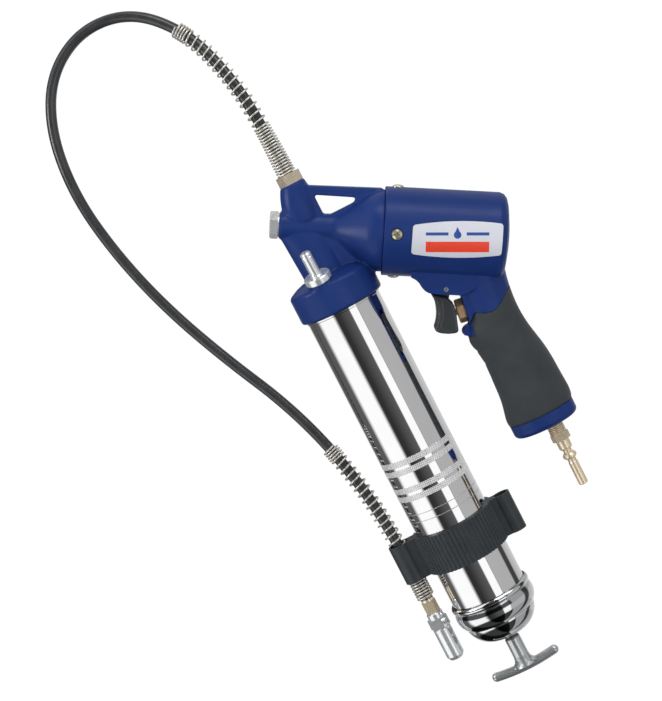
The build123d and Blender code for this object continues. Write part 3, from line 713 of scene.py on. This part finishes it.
def add_whip_hose():
    """The hose with its two wire guards."""
    hose, line = add_hose()
    length = resample(line, HOSE_STEP)[1]
    head_guard = add_guard(
        "hose_guard_head", "spring_guard_head",
        part_of(line, HEAD_GUARD_START * MM, GUARD_LENGTH * MM),
        open_pitch=5.6, close_pitch=2.2, close_stretches=[(0, 38), (123, 133)],
        outer_radii=[(0, 7.4), (40, 6.5), (133, 6.4)],
    )  # fmt: skip
    coupler_guard = add_guard(
        "hose_guard_coupler", "spring_guard_coupler",
        part_of(line, length - GUARD_LENGTH * MM, length - COUPLER_GUARD_END * MM),
        open_pitch=5.4, close_pitch=2.2, close_stretches=[(0, 9), (112, 132)],
        outer_radii=[(0, 6.4), (90, 6.5), (112, 7.0)],
    )  # fmt: skip


# ---------------------------------------------------------------- springs
SPRING_SIDES = 6
FOLLOWER_INSET = 1.3 * MM  # from each end of the CAD spring to the middle of the coil's wire
VALVE_TILT = radians(9)
VALVE_FACE = gun_point(41.7, 77.8)


def add_spring(
    name, node, start, direction, length, coil_r, wire_r, turns
):
    """A helical spring with even turns along a straight line."""
    end = start + direction * length
    points = coil_points([start, end], lambda distance: length / turns, lambda distance: coil_r)
    vertices, faces = wire_mesh(points, wire_r, SPRING_SIDES)
    piece = add_mesh(name, vertices, faces, "gun", "spring_steel")
    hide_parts(node)
    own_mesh(piece)


def add_springs():
    low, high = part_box("follower_spring")
    length = high[0] - low[0]
    add_spring(
        "follower_coil", "follower_spring",
        start=Vector((low[0] + FOLLOWER_INSET, GUN_ORIGIN.y, GUN_ORIGIN.z)),
        direction=Vector((1, 0, 0)), length=length - 2 * FOLLOWER_INSET,
        coil_r=22.9 * MM, wire_r=1.25 * MM, turns=26,
    )  # fmt: skip
    add_spring(
        "return_coil", "return_spring",
        start=motor_point(8.5, 0), direction=MOTOR_DIR, length=64.0 * MM,
        coil_r=10.8 * MM, wire_r=1.1 * MM, turns=11,
    )  # fmt: skip
    outwards = Vector((-sin(VALVE_TILT), -cos(VALVE_TILT), 0))
    add_spring(
        "valve_coil", "valve_spring",
        start=VALVE_FACE + outwards * -30.3 * MM, direction=outwards, length=13.5 * MM,
        coil_r=3.3 * MM, wire_r=0.5 * MM, turns=7,
    )  # fmt: skip
    add_spring(
        "check_coil", "outlet_check_spring",
        start=motor_point(-71.5, 0), direction=MOTOR_DIR, length=4.6 * MM,
        coil_r=2.75 * MM, wire_r=0.35 * MM, turns=4,
    )  # fmt: skip


# ---------------------------------------------------------------- head, trigger and grip
SMOOTH_FACTOR = 0.5

PLUNGER_BORE = (-62, 4)  # along the motor's axis
BORE_NEAR = 5.5  # the bore's own vertices lie within this radius
BORE_KEPT = 4.0  # and come no nearer to the axis than this

# lines down the trigger's sides: distance behind its front edge, half width, height
TRIGGER_LINES = ((2.4, 1.0, -1.1), (4.2, 1.1, 0.55))
TRIGGER_LINES_START = (9, 12)  # they fade in between these distances from the trigger's top
TRIGGER_LINES_END = (2.5, 0.8)  # and out between these from its tip
FLAT_NORMAL = 0.6  # its sides are where the normals point up or down by more than this

GRIP_Y = 95.0  # the grip's axis
GRIP_CORE = 12  # nearer to the axis than this the sleeve is left as it is
GRIP_FLATTENING = 1.3
# the limits here are what a smooth step runs between
FINGER_X = (62.0, 106.0)
FINGER_FADE_IN = (-3, 4)  # from the first finger's place
FINGER_FRONT = (0.35, 0.95)
FINGER_PITCH = 11.0
FINGER_DEPTH = 0.9
GRIP_HOLLOWS = ((72, 92, 16), (104, 90, 13))  # x, y, radius
HOLLOW_SIDE = (0.5, 1.0)
HOLLOW_EDGE = (0.55, 1.0)
HOLLOW_DEPTH = 0.5


def remeshed(name, node, body, slot, voxel, smoothing):
    """Redraws a CAD node in small even faces, its sharp corners eased as a mould leaves them.
    Returns the vertices.
    """
    piece = bpy.data.objects.new(name, nodes[node].data.copy())
    bpy.context.scene.collection.objects.link(piece)
    remesh = piece.modifiers.new("remesh", "REMESH")
    remesh.mode = "VOXEL"
    remesh.voxel_size = voxel * MM
    smooth = piece.modifiers.new("smooth", "SMOOTH")
    smooth.factor = SMOOTH_FACTOR
    smooth.iterations = smoothing
    bpy.context.view_layer.update()
    graph = bpy.context.evaluated_depsgraph_get()
    mesh = bpy.data.meshes.new_from_object(piece.evaluated_get(graph))
    piece.modifiers.clear()
    piece.data = mesh
    mesh.shade_smooth()
    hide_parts(node)
    dress(piece, body, slot)
    return mesh.vertices


def add_head():
    """The head casting with cast fillets, its plunger bore kept clear."""
    low, high = (limit * MM for limit in PLUNGER_BORE)
    head = remeshed("cast_head", "head_casting", "gun", "blue_paint", voxel=0.8, smoothing=5)
    for vertex in head:
        from_seam = vertex.co - SEAM
        along = from_seam.dot(MOTOR_DIR)
        radial = from_seam - MOTOR_DIR * along
        if low < along < high and radial.length < BORE_NEAR * MM:
            kept = radial.normalized() * max(radial.length, BORE_KEPT * MM)
            vertex.co = SEAM + MOTOR_DIR * along + kept


def add_grip():
    """The rubber sleeve, with finger scallops down its front and shallow hollows in its sides."""
    fingers = FINGER_X[0]
    fade_in = [fingers + limit for limit in FINGER_FADE_IN]
    sleeve = remeshed(
        "grip_rubber_sleeve", "grip_sleeve", "gun", "grip_rubber", voxel=0.9, smoothing=3
    )
    for vertex in sleeve:
        place = (vertex.co - GUN_ORIGIN) / MM
        outward = Vector((0, place.y - GRIP_Y, place.z * GRIP_FLATTENING))
        if outward.length < GRIP_CORE:
            continue
        outward.normalize()
        fade = smooth_step(place.x, *fade_in) * (1 - smooth_step(place.x, *FINGER_X))
        front = smooth_step(-outward.y, *FINGER_FRONT)
        wave = 1 - abs(sin(pi * (place.x - fingers) / FINGER_PITCH))
        depth = FINGER_DEPTH * fade * front * wave * wave
        side = smooth_step(abs(outward.z), *HOLLOW_SIDE)
        for x, y, radius in GRIP_HOLLOWS:
            away = sqrt((place.x - x) ** 2 + (place.y - y) ** 2) / radius
            depth += HOLLOW_DEPTH * side * (1 - smooth_step(away, *HOLLOW_EDGE))
        vertex.co -= outward * depth * MM


def add_trigger():
    """The trigger with its moulded edges well rounded, and a groove and a ridge behind its
    front edge.
    """
    vertices = remeshed(
        "trigger_lever", "trigger", "trigger", "trigger_plastic", voxel=0.5, smoothing=14
    )
    places = [(vertex.co - GUN_ORIGIN) / MM for vertex in vertices]
    normals = [vertex.normal.z for vertex in vertices]
    top, tip = min(place.x for place in places), max(place.x for place in places)
    front = {}  # the front edge's y at each whole x
    for place in places:
        slab = round(place.x)
        front[slab] = min(front.get(slab, place.y), place.y)
    start, end = (top + inset for inset in TRIGGER_LINES_START)
    fade_start, fade_end = (tip - inset for inset in TRIGGER_LINES_END)
    for vertex, place, normal in zip(vertices, places, normals):
        slab = floor(place.x)
        low = front.get(slab, place.y)
        edge = low + (front.get(slab + 1, low) - low) * (place.x - slab)
        fade = smooth_step(place.x, start, end) * (1 - smooth_step(place.x, fade_start, fade_end))
        for distance, half_width, height in TRIGGER_LINES:
            away = (place.y - edge - distance) / half_width
            if abs(away) < 1 and abs(normal) > FLAT_NORMAL:
                rise = height * fade * (0.5 + 0.5 * cos(pi * away)) * MM
                vertex.co.z += copysign(rise, normal)


# ---------------------------------------------------------------- label print
LABEL_CENTRE = (52.0, -1.4)  # along and across the motor
LABEL_TURN = radians(3)
LABEL_R = HOUSING_R - 0.05  # the labels' outer face
PRINT_LIFT = 0.02
PRINT_STEP = 0.5
DROP_START, DROP_SWEEP = -235, 290  # degrees round the drop's belly
DROP_STEPS = 18
DROP_TIP = 2.1  # the point's height, in radii of the belly


def drop_outline(x, y, size):
    """A plain drop, its point upwards."""
    points = []
    for index in range(DROP_STEPS + 1):
        turn = radians(DROP_START + DROP_SWEEP * index / DROP_STEPS)
        points.append((x + size * cos(turn), y + size * sin(turn)))
    points.append((x, y + size * DROP_TIP))
    return points


def bar_outline(left, right, low, high):
    return [(left, low), (right, low), (right, high), (left, high)]


# one plain red bar below a blue drop between two blue rules
LABEL_PRINT = (
    ("bar", bar_outline(-22.5, 22.5, -9.0, -1.4), "label_red"),
    ("rule_left", bar_outline(-22.5, -6.5, 3.0, 5.2), "label_blue"),
    ("rule_right", bar_outline(6.5, 22.5, 3.0, 5.2), "label_blue"),
    ("drop", drop_outline(0, 3.4, 2.7), "label_blue"),
)


def label_patch(name, outline, finish, side):
    """A printed patch, drawn flat in millimetres from the label's middle and wrapped on the
    motor's upper or lower side.
    """
    mesh = bmesh.new()
    corners = []
    for x, y in outline:
        u = LABEL_CENTRE[0] + x * cos(LABEL_TURN) - y * sin(LABEL_TURN)
        v = LABEL_CENTRE[1] + x * sin(LABEL_TURN) + y * cos(LABEL_TURN)
        corners.append(mesh.verts.new((u, v, 0)))
    mesh.faces.new(corners)
    bmesh.ops.triangulate(mesh, faces=mesh.faces[:])
    low = min(corner.co.y for corner in corners)
    high = max(corner.co.y for corner in corners)
    cuts = max(2, int((high - low) / PRINT_STEP))
    for index in range(1, cuts):
        bmesh.ops.bisect_plane(
            mesh, geom=mesh.verts[:] + mesh.edges[:] + mesh.faces[:],
            plane_co=(0, low + (high - low) * index / cuts, 0), plane_no=(0, 1, 0),
        )  # fmt: skip
    radius = LABEL_R + PRINT_LIFT
    points = []
    mesh.verts.index_update()
    for vertex in mesh.verts:
        u, v = vertex.co.x, vertex.co.y
        points.append(motor_point(u, v, side * (radius * radius - v * v) ** 0.5))
    faces = []
    for face in mesh.faces:
        order = [vertex.index for vertex in face.verts]
        faces.append(tuple(order if side > 0 else order[::-1]))
    mesh.free()
    add_mesh(name, points, faces, "gun", "label_white", finish)


# ---------------------------------------------------------------- build
bpy.context.scene.view_settings.view_transform = "Standard"
add_camera()
add_studio()
for lamp in LAMPS:
    add_lamp(*lamp)
add_floor()
finish_cad_nodes()
etch_barrel(finishes["chrome_tube"])
add_whip_hose()
add_springs()
add_head()
add_grip()
add_trigger()
for side, place in ((1, "near"), (-1, "far")):
    for shape, outline, finish in LABEL_PRINT:
        label_patch(f"print_{place}_{shape}", outline, finish, side)
